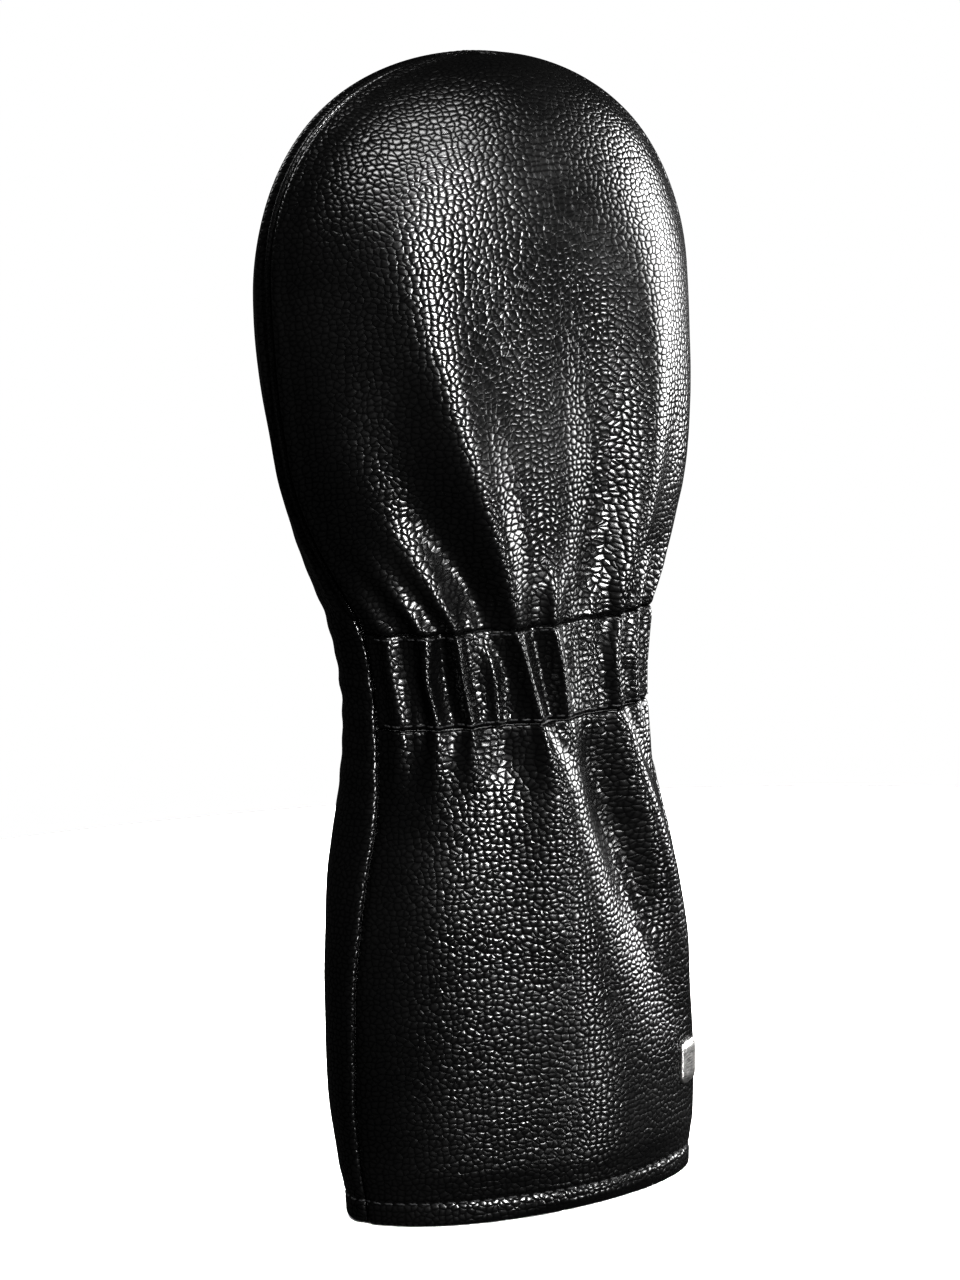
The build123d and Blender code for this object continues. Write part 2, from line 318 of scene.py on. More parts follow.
def raise_front(points, along, total, z, zone, piped, edges):
    """Displacement of a gathered-side panel: folds, puckers, seams and edges."""
    half = total[:, None] / 2
    from_seam = half - np.abs(along)
    keep = 1 - np.exp(-((from_seam / 5.0) ** 2))
    lift = fold_height(zone, z, along, total) * keep
    lift += puckers(z, along, upper_row_z, pucker_reach, pucker_height) * keep
    lift += puckers(z, along + 1.3, lower_row_z, pucker_reach, pucker_height) * keep
    lift += soft_waves(points, 46.0, 0.35, 3) * keep
    lift += seam_roll(from_seam, piped)
    for edge in edges:
        distance = np.abs(z - edge)[:, None]
        lift = lift * (1 - row_pinch * np.exp(-((distance / 1.8) ** 2)))
        lift += groove(distance, 0.55, 0.7)
    return lift


# ---- meshes ------------------------------------------------------------------
def mesh_object(name, points, faces, uv):
    """A smooth mesh object from points in millimetres, with each point's place on the flat cut."""
    mesh = bpy.data.meshes.new(name)
    mesh.from_pydata((points * MM).tolist(), [], faces)
    layer = mesh.uv_layers.new(name="cut")
    corner = np.zeros(len(mesh.loops), np.int32)
    mesh.loops.foreach_get("vertex_index", corner)
    layer.data.foreach_set("uv", uv[corner].astype(np.float32).ravel())
    mesh.polygons.foreach_set("use_smooth", np.ones(len(mesh.polygons), bool))
    mesh.update()
    obj = bpy.data.objects.new(name, mesh)
    bpy.context.scene.collection.objects.link(obj)
    return obj


def quads(a, b, c, d):
    """Four-cornered faces from four arrays of point numbers."""
    return np.stack([a, b, c, d], -1).reshape(-1, 4)


def grid_object(name, points, uv):
    """An open sheet from a grid of points in millimetres."""
    rows, columns = points.shape[:2]
    index = np.arange(rows * columns).reshape(rows, columns)
    faces = quads(index[:-1, :-1], index[:-1, 1:], index[1:, 1:], index[1:, :-1])
    return mesh_object(name, points.reshape(-1, 3), faces.tolist(), uv.reshape(-1, 2))


def apply_modifiers(obj):
    """Turns what the modifiers make into the object's own mesh."""
    bpy.context.view_layer.update()
    graph = bpy.context.evaluated_depsgraph_get()
    mesh = bpy.data.meshes.new_from_object(obj.evaluated_get(graph))
    obj.modifiers.clear()
    obj.data = mesh
    return obj


def thicken(obj, thickness, looks_out):
    """Gives a sheet its thickness, inwards from the surface that it was drawn on."""
    solid = obj.modifiers.new("thickness", "SOLIDIFY")
    solid.thickness = thickness * MM
    solid.offset = -1.0 if looks_out else 1.0
    solid.use_even_offset = False
    solid.use_rim = True
    return apply_modifiers(obj)


def cut_uv(points, along):
    """Each point's place on the flat cut, in millimetres: across, then up."""
    steps = np.linalg.norm(np.diff(points, axis=0), axis=2)
    up = np.concatenate([np.zeros((1, points.shape[1])), np.cumsum(steps, 0)], 0) + points[0, 0, 2]
    return np.stack([along, up], 2)


def faces_out(points):
    """True if the grid's faces, as grid_object winds them, look away from the Z axis."""
    row, column = points.shape[0] // 3, points.shape[1] // 2
    across = points[row, column + 1] - points[row, column]
    up = points[row + 1, column] - points[row, column]
    normal = np.cross(across, up)
    return float(normal[:2] @ points[row, column][:2]) > 0


def hem_fold(points, normals, turn, inward):
    """Rows that carry a panel's lower edge round under itself and up inside, to the turn's height."""
    edge, out = points[0], normals[0].copy()
    out[:, 2] = 0
    out /= np.linalg.norm(out, axis=1, keepdims=True)
    rows = []
    for height in np.linspace(turn, inward, 9):
        rows.append(edge - out * (2 * inward) + np.array([0, 0, height]))
    for angle in np.linspace(0, math.pi, 8)[1:-1]:
        drop = inward * (1 - math.sin(angle))
        rows.append(edge - out * inward * (1 + math.cos(angle)) + np.array([0, 0, drop]))
    return np.array(rows)


def leather_panel(name, heights, zone, piped_from, edges, with_dome, columns, step):
    """One leather piece with its folds, seam edges, thickness and place on the flat cut."""
    front = zone != "plain"
    rings = ring_table(heights, with_dome, step)
    points, along, total = panel_points(rings, columns, front, margin=0.25)
    z = rings[:, 0]
    piped = np.clip((z - piped_from) / 8.0, 0, 1)[:, None] if piped_from else np.zeros((len(z), 1))
    normals = normals_of(points)
    if front:
        lift = raise_front(points, along, total, z, zone, piped, edges)
    else:
        lift = raise_rear(points, along, total, z, piped)
    hem = heights[0] <= 0.01
    if hem:
        lift += groove(np.abs(z - hem_row_z)[:, None], 0.45, 0.9)
        lift += -0.9 * np.exp(-((np.maximum(z, 0) / 13.0) ** 6))[:, None]
    points = points + normals * lift[:, :, None]
    if hem:
        under = hem_fold(points, normals, hem_turn, hem_roll)
        lifted = points[0] + np.array([0, 0, hem_roll])
        keep = points[:, 0, 2] > 1.5
        points = np.concatenate([under, lifted[None], points[keep]])
        along = np.concatenate([np.repeat(along[:1], len(under) + 1, 0), along[keep]])
    uv = cut_uv(points, along)
    obj = grid_object(name, points, uv)
    thicken(obj, leather - 0.1, faces_out(points))
    return obj


def raise_rear(points, along, total, z, piped):
    """Displacement of the plain side: soft creases across the neck, seams and slow unevenness."""
    half = total[:, None] / 2
    from_seam = half - np.abs(along)
    keep = 1 - np.exp(-((from_seam / 6.0) ** 2))
    lift = seam_roll(from_seam, piped)
    near_neck = np.exp(-(((z - neck_z) / 34.0) ** 2))[:, None]
    tilt = z[:, None] + 2.4 * np.sin(along * 0.045) + 1.2 * np.sin(along * 0.11 + 1.0)
    creases = 0.6 * np.sin(tilt * 2 * math.pi / 8.7) + 0.4 * np.sin(tilt * 2 * math.pi / 13.9 + along * 0.03)
    lift += 0.42 * creases * near_neck * (0.55 + 0.45 * np.exp(-((from_seam / 22.0) ** 2)))
    sag = 1.3 * np.cos(along * 2 * math.pi / 58.0) * np.exp(-(((z - neck_z) / 46.0) ** 2))[:, None]
    return lift + sag * keep + soft_waves(points, 60.0, 0.55, 5) * keep


def shell_object(name, outer, inner, uv):
    """A closed shell between two grids of points in millimetres."""
    rows, columns = outer.shape[:2]
    top = np.arange(rows * columns).reshape(rows, columns)
    low = top + rows * columns
    faces = [quads(top[:-1, :-1], top[:-1, 1:], top[1:, 1:], top[1:, :-1]),
             quads(low[:-1, :-1], low[1:, :-1], low[1:, 1:], low[:-1, 1:]),
             quads(top[0, :-1], low[0, :-1], low[0, 1:], top[0, 1:]),
             quads(top[-1, 1:], low[-1, 1:], low[-1, :-1], top[-1, :-1]),
             quads(top[1:, 0], low[1:, 0], low[:-1, 0], top[:-1, 0]),
             quads(top[:-1, -1], low[:-1, -1], low[1:, -1], top[1:, -1])]
    faces = np.concatenate(faces)
    if not faces_out(outer):
        faces = faces[:, ::-1]
    points = np.concatenate([outer.reshape(-1, 3), inner.reshape(-1, 3)])
    flat = np.concatenate([uv.reshape(-1, 2), uv.reshape(-1, 2)])
    return mesh_object(name, points, faces.tolist(), flat)


def depth_at(z, layer):
    """Depth of a layer's outer face under the leather's plain surface, clear of the folds above it."""
    share = np.clip((z - upper_row_z) / 44.0, 0, 1)
    middle = elastic + (padding - elastic) * share
    above = {"middle": np.zeros_like(z), "lining": middle, "tape": middle + lining}[layer]
    return leather + fold_clearance + above, middle


def inner_layer(name, heights, front, layer, with_dome, span=None):
    """A closed layer of padding, elastic, lining or tape, inside the leather."""
    rings = ring_table(heights, with_dome, inner_step)
    points, along, total = panel_points(rings, inner_columns, front, margin=0.8)
    normals = normals_of(points)
    outer_depth, middle = depth_at(rings[:, 0], layer)
    thick = {"middle": middle, "lining": lining, "tape": tape}[layer] + np.zeros_like(middle)
    wave = soft_waves(points, 34.0, 0.15, 11)
    z = rings[:, 0]
    piped = np.clip((z - upper_row_z) / 8.0, 0, 1)[:, None]
    if front:
        lift = raise_front(points, along, total, z, zone_of(z), piped, ())
    else:
        lift = raise_rear(points, along, total, z, piped)
    dip = np.minimum(lift, 0)
    if span is not None:
        points, normals, wave, dip, along = pick_span(points, normals, wave, dip, along, total, span)
    outer = points - normals * (outer_depth[:, None] + np.abs(wave) - dip)[:, :, None]
    inner = outer - normals * (thick[:, None] - layer_play)[:, :, None]
    return shell_object(name, outer, inner, cut_uv(outer, along))


def zone_of(z):
    """The gathered-side piece that covers these heights."""
    middle = float(np.mean(z))
    if middle > upper_row_z:
        return "head"
    return "band" if middle > lower_row_z else "skirt"


def pick_span(points, normals, wave, dip, along, total, span):
    """The strip of a grid that lies between two distances from one of its seams."""
    side, near, far = span
    wanted = side * (total[:, None] / 2 - np.linspace(near, far, 6)[None, :])
    order = np.argsort(along[0])

    def resample(values):
        return np.array([np.interp(w, a[order], v[order]) for w, a, v in zip(wanted, along, values)])

    def resample3(values):
        return np.stack([resample(values[:, :, k]) for k in range(3)], 2)

    return resample3(points), resample3(normals), resample(wave), resample(dip), wanted


# ---- tubes and thread ---------------------------------------------------------
def tube_rings(path, outward, radius, sides):
    """Rings of points round a path, with one side kept towards the outward directions."""
    path = np.asarray(path, float)
    tangent = np.gradient(path, axis=0)
    tangent /= np.linalg.norm(tangent, axis=1, keepdims=True)
    up = outward - (outward * tangent).sum(1, keepdims=True) * tangent
    up /= np.linalg.norm(up, axis=1, keepdims=True)
    side = np.cross(tangent, up)
    turn = np.linspace(0, 2 * math.pi, sides, endpoint=False)
    radius = np.broadcast_to(np.asarray(radius, float), (len(path),))[:, None, None]
    ring = up[:, None] * np.cos(turn)[None, :, None] + side[:, None] * np.sin(turn)[None, :, None]
    return path[:, None] + ring * radius


def tubes_object(name, tubes):
    """One mesh of many closed tubes, each an array of rings of points in millimetres."""
    points, faces, uvs = [], [], []
    count = 0
    for rings in tubes:
        rows, sides = rings.shape[:2]
        index = count + np.arange(rows * sides).reshape(rows, sides)
        wrap = np.concatenate([index, index[:, :1]], 1)
        sides_quads = quads(wrap[:-1, :-1], wrap[1:, :-1], wrap[1:, 1:], wrap[:-1, 1:])
        faces += sides_quads.tolist() + [index[0].tolist(), index[-1, ::-1].tolist()]
        points.append(rings.reshape(-1, 3))
        centre = rings.mean(1)
        length = np.concatenate([[0], np.cumsum(np.linalg.norm(np.diff(centre, axis=0), axis=1))])
        size = np.linalg.norm(rings[rows // 2, 0] - centre[rows // 2])
        around = np.linspace(0, 1, sides) * 2 * math.pi * size
        uvs.append(np.stack(np.broadcast_arrays(around[None, :], length[:, None]), 2).reshape(-1, 2))
        count += rows * sides
    return mesh_object(name, np.concatenate(points), faces, np.concatenate(uvs))


def seam_path(start_z, depth):
    """The seam over the head, from the left up over the crown and down on the right."""
    rings = ring_table(stations(start_z, dome_base_z, seam_step), True, seam_step)
    points = panel_points(rings, 41, True)[0]
    normals = normals_of(points)
    left = points[:, 0], normals[:, 0]
    right = points[:, -1], normals[:, -1]
    path = np.concatenate([left[0], right[0][::-1][1:]])
    out = np.concatenate([left[1], right[1][::-1][1:]])
    crown = len(left[0])
    out[crown - 4:crown + 3] = (0, 0, 1)
    out[:, 1] *= 0.4
    out /= np.linalg.norm(out, axis=1, keepdims=True)
    from_end = np.minimum(np.arange(len(path)), np.arange(len(path))[::-1]) * seam_step
    tuck = 2.2 * np.exp(-((from_end / 3.5) ** 2))
    return path - out * (depth + tuck)[:, None], out


def surface_row(objects, z, start_deg, end_deg):
    """Points and normals along a level line on the outside of some pieces, in millimetres."""
    trees = []
    for obj in objects:
        vertices = [v.co.copy() for v in obj.data.vertices]
        trees.append(BVHTree.FromPolygons(vertices, [p.vertices[:] for p in obj.data.polygons]))
    points, normals = [], []
    for angle in np.radians(np.linspace(start_deg, end_deg, 1400)):
        origin = Vector((0.12 * math.cos(angle), 0.10 * math.sin(angle), z * MM))
        inwards = -Vector((origin.x, origin.y, 0)).normalized()
        hits = [tree.ray_cast(origin, inwards) for tree in trees]
        hits = [h for h in hits if h[0] is not None]
        if hits:
            place, normal = min(hits, key=lambda h: h[3])[:2]
            points.append(np.array(place) / MM)
            normals.append(np.array(normal if normal.dot(inwards) < 0 else -normal))
    return np.array(points), np.array(normals)


def stitches(name, objects, z, start_deg, end_deg):
    """A row of thread: each stitch is a short length of cord that dips into the leather at both ends."""
    path, out = surface_row(objects, z, start_deg, end_deg)
    steps = np.linalg.norm(np.diff(path, axis=0), axis=1)
    length = np.concatenate([[0], np.cumsum(np.minimum(steps, 1.0))])
    tubes = []
    draw = np.random.default_rng(int(z * 10))
    at = 1.0
    while at + stitch_length < length[-1] - 0.6:
        along = at + stitch_length * np.linspace(0, 1, 9)
        rise = thread_radius * (0.75 - 2.6 * np.abs(np.linspace(-1, 1, 9)) ** 5)
        points = np.stack([np.interp(along, length, path[:, k]) for k in range(3)], 1)
        normal = np.stack([np.interp(along, length, out[:, k]) for k in range(3)], 1)
        normal = normal.mean(0, keepdims=True).repeat(9, 0)
        normal /= np.linalg.norm(normal, axis=1, keepdims=True)
        points = points + normal * rise[:, None]
        points[:, 2] += draw.normal(0, 0.05) + np.linspace(-1, 1, 9) * draw.normal(0, 0.06)
        width = thread_radius * (1 - 0.35 * np.abs(np.linspace(-1, 1, 9)) ** 4)
        tubes.append(tube_rings(points, normal, width, 8))
        at += stitch_pitch * draw.uniform(0.97, 1.03)
    return tubes_object(name, tubes)


# ---- materials ------------------------------------------------------------------
class Nodes:
    """A short way to write a node tree."""

    def __init__(self, name):
        self.material = bpy.data.materials.new(name)
        self.material.use_nodes = True
        self.tree = self.material.node_tree
        self.shader = self.tree.nodes["Principled BSDF"]

    def add(self, kind, inputs=(), **settings):
        """A node with its settings, and its inputs given as values or as other nodes' outputs."""
        node = self.tree.nodes.new(kind)
        for key, value in settings.items():
            setattr(node, key, value)
        for key, value in dict(inputs).items():
            if isinstance(value, bpy.types.NodeSocket):
                self.tree.links.new(value, node.inputs[key])
            else:
                node.inputs[key].default_value = value
        return node

    def math(self, operation, a, b):
        """One arithmetic step."""
        return self.add("ShaderNodeMath", {0: a, 1: b}, operation=operation).outputs[0]

    def spread(self, value, low, high, to_low, to_high, kind="SMOOTHSTEP"):
        """A value carried from one range to another."""
        inputs = {"Value": value, "From Min": low, "From Max": high, "To Min": to_low, "To Max": to_high}
        return self.add("ShaderNodeMapRange", inputs, interpolation_type=kind).outputs[0]

    def noise(self, vector, scale, detail=3.0, roughness=0.5):
        """Fractal noise."""
        inputs = {"Vector": vector, "Scale": scale, "Detail": detail, "Roughness": roughness}
        return self.add("ShaderNodeTexNoise", inputs)

    def mix(self, share, a, b):
        """A colour between two colours."""
        node = self.add("ShaderNodeMix", {0: share}, data_type="RGBA")
        for socket, value in ((node.inputs[6], a), (node.inputs[7], b)):
            if isinstance(value, bpy.types.NodeSocket):
                self.tree.links.new(value, socket)
            else:
                socket.default_value = (*value, 1.0)
        return node.outputs[2]

    def set(self, **values):
        """The shader's own sockets: links for outputs, plain values for the rest."""
        for key, value in values.items():
            socket = self.shader.inputs[key.replace("_", " ")]
            if isinstance(value, bpy.types.NodeSocket):
                self.tree.links.new(value, socket)
            else:
                socket.default_value = value
        return self.material

    def bump(self, height, distance):
        """A bump of the given height in metres."""
        inputs = {"Height": height, "Distance": distance, "Strength": 1.0}
        return self.add("ShaderNodeBump", inputs).outputs[0]


def leather_material(name, cell_mm, relief_mm, roughness, stretch=1.0):
    """Black pebbled leather: rounded grains with narrow valleys, on the flat cut's own coordinates."""
    n = Nodes(name)
    uv = n.add("ShaderNodeUVMap", uv_map="cut").outputs[0]
    pitch = (stretch / cell_mm, 1 / cell_mm, 1.0)
    scaled = n.add("ShaderNodeMapping", {"Vector": uv, "Scale": pitch}).outputs[0]
    drift = n.noise(scaled, 0.45, 2.0).outputs["Color"]
    middle = (0.5, 0.5, 0.5)
    shift = n.add("ShaderNodeVectorMath", {0: drift, 1: middle}, operation="SUBTRACT").outputs[0]
    place = n.add("ShaderNodeVectorMath", {0: scaled, 1: shift}, operation="ADD").outputs[0]
    edge = n.add("ShaderNodeTexVoronoi", {"Vector": place, "Scale": 1.0, "Randomness": 0.8},
                 voronoi_dimensions="2D", feature="DISTANCE_TO_EDGE").outputs["Distance"]
    near = n.add("ShaderNodeTexVoronoi", {"Vector": place, "Scale": 1.0, "Randomness": 0.8},
                 voronoi_dimensions="2D", feature="F1")
    rise = n.spread(edge, 0.0, 0.13, 0.0, 1.0)
    slack = n.spread(edge, 0.0, 0.46, 1.0, 0.0, "LINEAR")
    pillow = n.math("SUBTRACT", 1.0, n.math("MULTIPLY", slack, slack))
    reach = near.outputs["Distance"]
    ball = n.math("SUBTRACT", 1.0, n.math("MULTIPLY", n.math("MULTIPLY", reach, reach), 2.2))
    pillow = n.math("ADD", n.math("MULTIPLY", pillow, 0.42), n.math("MULTIPLY", ball, 0.58))
    chance = n.add("ShaderNodeSeparateColor", {0: near.outputs["Color"]}).outputs[0]
    tall = n.spread(chance, 0.0, 1.0, 0.75, 1.15, "LINEAR")
    pebble = n.math("MULTIPLY", pillow, tall)
    wrinkle = n.noise(scaled, 2.2, 2.0, 0.5).outputs["Fac"]
    pores = n.noise(scaled, 9.0, 2.0, 0.6).outputs["Fac"]
    fine = n.math("ADD", n.math("MULTIPLY", wrinkle, 0.10), n.math("MULTIPLY", pores, 0.008))
    height = n.math("ADD", pebble, fine)
    patch = n.noise(scaled, 0.035, 3.0).outputs["Fac"]
    # The narrow valleys between the grains are painted darker than the grain tops: painted shade.
    tone = n.mix(rise, (0.0003, 0.0003, 0.0004), (0.0012, 0.0012, 0.0012))
    tone = n.mix(n.spread(patch, 0.35, 0.7, 0.0, 0.45), tone, (0.0020, 0.0019, 0.0019))
    worn = n.spread(patch, 0.3, 0.7, roughness - 0.05, roughness + 0.06)
    rough = n.math("ADD", n.spread(rise, 0.0, 1.0, 0.22, 0.0), worn)
    normal = n.bump(height, relief_mm * MM)
    gleam = n.spread(edge, 0.0, 0.34, 0.04, 0.66)
    return n.set(Base_Color=tone, Roughness=rough, Normal=normal, Specular_IOR_Level=gleam)


def fabric_material(name, dark, light, pitch_mm, relief_mm, ribbed=False, fuzzy=0.0):
    """Thread, tape, webbing or fleece: ribs or a nap, with uneven tone, and painted shade that darkens the
    low parts.
    """
    n = Nodes(name)
    uv = n.add("ShaderNodeUVMap", uv_map="cut").outputs[0]
    scaled = n.add("ShaderNodeMapping", {"Vector": uv, "Scale": (1 / pitch_mm, 1 / pitch_mm, 1.0)}).outputs[0]
    nap = n.noise(scaled, 1.0, 5.0, 0.7).outputs["Fac"]
    clump = n.noise(scaled, 0.22, 3.0).outputs["Fac"]
    height = nap
    if ribbed:
        rib = n.add("ShaderNodeTexWave", {"Vector": scaled, "Scale": 1.0, "Distortion": 0.4},
                    wave_type="BANDS", bands_direction="Y").outputs["Fac"]
        height = n.math("ADD", rib, n.math("MULTIPLY", nap, 0.3))
    tone = n.mix(n.spread(clump, 0.3, 0.7, 0.0, 1.0), dark, light)
    # The low parts of the nap and ribs are painted darker: painted shade.
    tone = n.mix(n.spread(height, 0.2, 0.9, 0.55, 0.0), tone, dark)
    normal = n.bump(height, relief_mm * MM)
    material = n.set(Base_Color=tone, Roughness=0.9, Normal=normal, Specular_IOR_Level=0.2)
    n.shader.inputs["Sheen Weight"].default_value = fuzzy
    n.shader.inputs["Sheen Roughness"].default_value = 0.5
    return material


def thread_material():
    """Bonded black thread, twisted."""
    n = Nodes("black_thread")
    uv = n.add("ShaderNodeUVMap", uv_map="cut").outputs[0]
    twist = n.add("ShaderNodeTexWave", {"Vector": uv, "Scale": 0.55, "Distortion": 0.3},
                  wave_type="BANDS", bands_direction="DIAGONAL").outputs["Fac"]
    # The thread is painted darker in the grooves of its twist: painted shade.
    tone = n.mix(twist, (0.006, 0.006, 0.006), (0.03, 0.03, 0.031))
    return n.set(Base_Color=tone, Roughness=0.42, Normal=n.bump(twist, 0.08 * MM), Specular_IOR_Level=0.5)


def metal_material():
    """Brushed steel, blank, with fine lines and a little tarnish."""
    n = Nodes("brushed_badge")
    place = n.add("ShaderNodeTexCoord").outputs["Object"]
    lines = n.add("ShaderNodeMapping", {"Vector": place, "Scale": (300.0, 300.0, 9000.0)}).outputs[0]
    brushed = n.noise(lines, 1.0, 2.0).outputs["Fac"]
    stain = n.noise(place, 220.0, 3.0).outputs["Fac"]
    tone = n.mix(n.spread(stain, 0.35, 0.75, 0.0, 1.0), (0.56, 0.55, 0.54), (0.36, 0.355, 0.35))
    rough = n.spread(brushed, 0.3, 0.7, 0.24, 0.40)
    material = n.set(Base_Color=tone, Roughness=rough, Normal=n.bump(brushed, 0.02 * MM))
    n.shader.inputs["Metallic"].default_value = 1.0
    return material


def floor_material():
    """Pale matt paper."""
    n = Nodes("pale_floor")
    place = n.add("ShaderNodeTexCoord").outputs["Object"]
    tone = n.mix(n.noise(place, 3.0, 4.0).outputs["Fac"], (0.86, 0.86, 0.86), (0.90, 0.90, 0.90))
    return n.set(Base_Color=tone, Roughness=0.9, Specular_IOR_Level=0.1)


grained = leather_material("grained_leather", 1.7, 0.15, stretch=0.84, roughness=0.24)
stretched = leather_material("band_leather", 1.7, 0.12, stretch=1.1, roughness=0.24)
piping_skin = leather_material("piping_leather", 1.3, 0.025, roughness=0.27)
thread = thread_material()
fleece = fabric_material("black_fleece", (0.010, 0.010, 0.011), (0.026, 0.026, 0.028), 0.8, 0.55, fuzzy=0.6)
foam = fabric_material("grey_foam", (0.16, 0.16, 0.16), (0.26, 0.26, 0.26), 0.9, 0.3)
webbing = fabric_material("elastic_webbing", (0.012, 0.012, 0.012), (0.035, 0.035, 0.036), 1.1, 0.3,
                          ribbed=True)
tape_cloth = fabric_material("cotton_tape", (0.012, 0.012, 0.012), (0.030, 0.030, 0.031), 0.9, 0.18,
                             ribbed=True)
cord_fibre = fabric_material("cotton_cord", (0.34, 0.32, 0.28), (0.55, 0.53, 0.48), 0.5, 0.2)
steel = metal_material()


# ---- placing the pieces: cover pieces on the cover's body, the rest baked in place ----
def follow(obj, zone):
    """Bakes a gathered-side piece's placement into its mesh; where a bend towards the band would start and
    how fast it would fade are worked out but not used.
    """
    across = Vector((0, -1 / (band_travel_reach * MM), 0))
    if zone == "head":
        origin, across.z = Vector((0, 0, upper_row_z * MM)), -1 / (head_fade * MM)
    elif zone == "skirt":
        origin, across.z = Vector((0, 0, lower_row_z * MM)), 1 / (skirt_fade * MM)
    else:
        origin = Vector((0, 0, (lower_row_z + upper_row_z) / 2 * MM))
    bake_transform(obj)


def finish_piece(obj, material, node, zone):
    """Gives the piece its material, hides the CAD node that it stands for, and hangs cover pieces on the
    cover's body; other pieces are only baked in place.
    """
    obj.data.materials.clear()
    obj.data.materials.append(material)
    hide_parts(node)
    if zone == "cover":
        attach(obj, "cover")
    else:
        follow(obj, zone)


# ---- leather pieces ---------------------------------------------------------------
fine_rows = (lower_row_z, upper_row_z)
above_upper_row, below_upper_row = upper_row_z + row_gap, upper_row_z - row_gap
above_lower_row, below_lower_row = lower_row_z + row_gap, lower_row_z - row_gap
head_panel = leather_panel("head_panel_leather", stations(above_upper_row, dome_base_z, 1.25, (upper_row_z,)),
                           "head", upper_row_z, (upper_row_z,), True, columns=150, step=1.25)
band_panel = leather_panel("neck_band_skin", stations(above_lower_row, below_upper_row, 0.8, fine_rows, 0.4),
                           "band", 0, fine_rows, False, columns=190, step=1.0)
skirt_rows = stations(0.0, below_lower_row, 1.25, (hem_row_z, lower_row_z))
skirt_panel = leather_panel("skirt_panel_leather", skirt_rows, "skirt", 0, (lower_row_z,), False,
                            columns=140, step=1.25)
rear_panel = leather_panel("plain_panel_leather", stations(0.0, dome_base_z, 1.6, (hem_row_z,)),
                           "plain", upper_row_z, (), True, columns=150, step=1.6)

# ---- piping --------------------------------------------------------------------------
piping_line, piping_out = seam_path(upper_row_z + 0.8, piping_depth)
piping_tube = tubes_object("piping_bead", [tube_rings(piping_line, piping_out, piping_radius, 18)])
cord_tube = tubes_object("piping_cord", [tube_rings(piping_line, piping_out, 0.55 * piping_radius, 12)])

# ---- thread ----------------------------------------------------------------------------
row_start = -180 + math.degrees(math.asin(-neck_seam_y / neck_depth)) + 2.0
upper_row = stitches("upper_row_thread", [band_panel], upper_row_z - row_inset, row_start, -180 - row_start)
lower_row = stitches("lower_row_thread", [band_panel], lower_row_z + row_inset, row_start, -180 - row_start)
hem_row = stitches("hem_row_thread", [skirt_panel, rear_panel], hem_row_z, 0.0, 359.6)

# ---- inner layers ----------------------------------------------------------------------
head_heights = stations(above_upper_row, dome_base_z, inner_step)
band_heights = stations(above_lower_row, below_upper_row, 2.0)
skirt_heights = stations(hem_turn, below_lower_row, inner_step)
rear_low_heights = stations(hem_turn, upper_row_z, inner_step)
rear_heights = stations(hem_turn, dome_base_z, inner_step)
inner_layers = [
    ("head_foam_front", head_heights, True, "middle", True, foam, "head_padding_front", "foam", "head"),
    ("head_foam_rear", head_heights, False, "middle", True, foam, "head_padding_rear", "foam", "cover"),
    ("skirt_foam_front", skirt_heights, True, "middle", False, foam,
     "skirt_interlining_front", "foam", "skirt"),
    ("skirt_foam_rear", rear_low_heights, False, "middle", False, foam,
     "skirt_interlining_rear", "foam", "cover"),
    ("elastic_webbing", band_heights, True, "middle", False, webbing, "neck_elastic", "elastic", "band"),
    ("head_fleece_front", head_heights, True, "lining", True, fleece, "head_lining_front", "fleece", "head"),
    ("skirt_fleece_front", skirt_heights, True, "lining", False, fleece,
     "skirt_lining_front", "fleece", "skirt"),
    ("band_fleece", band_heights, True, "lining", False, fleece, "neck_band_lining", "fleece", "band"),
    ("rear_fleece", rear_heights, False, "lining", True, fleece, "lining_rear", "fleece", "cover"),
]
for name, heights, front, layer, with_dome, material, node, slot_name, zone in inner_layers:
    piece = inner_layer(name, heights, front, layer, with_dome)
    finish_piece(piece, material, node, zone)
for side, name in ((1, "right"), (-1, "left")):
    strip = (side, tape_from_seam, tape_from_seam + tape_width)
    piece = inner_layer(f"{name}_seam_tape", rear_heights, False, "tape", False, strip)
    finish_piece(piece, tape_cloth, f"seam_tape_{name}", "cover")

finish_piece(head_panel, grained, "gathered_head_panel", "head")
finish_piece(band_panel, stretched, "neck_band_leather", "band")
finish_piece(skirt_panel, grained, "gathered_skirt_panel", "skirt")
finish_piece(rear_panel, grained, "plain_panel", "cover")
finish_piece(piping_tube, piping_skin, "piping_cover", "cover")
finish_piece(cord_tube, cord_fibre, "piping_core", "cover")
finish_piece(upper_row, thread, "upper_neck_stitching", "band")
finish_piece(lower_row, thread, "lower_neck_stitching", "band")
finish_piece(hem_row, thread, "hem_stitching", "cover")


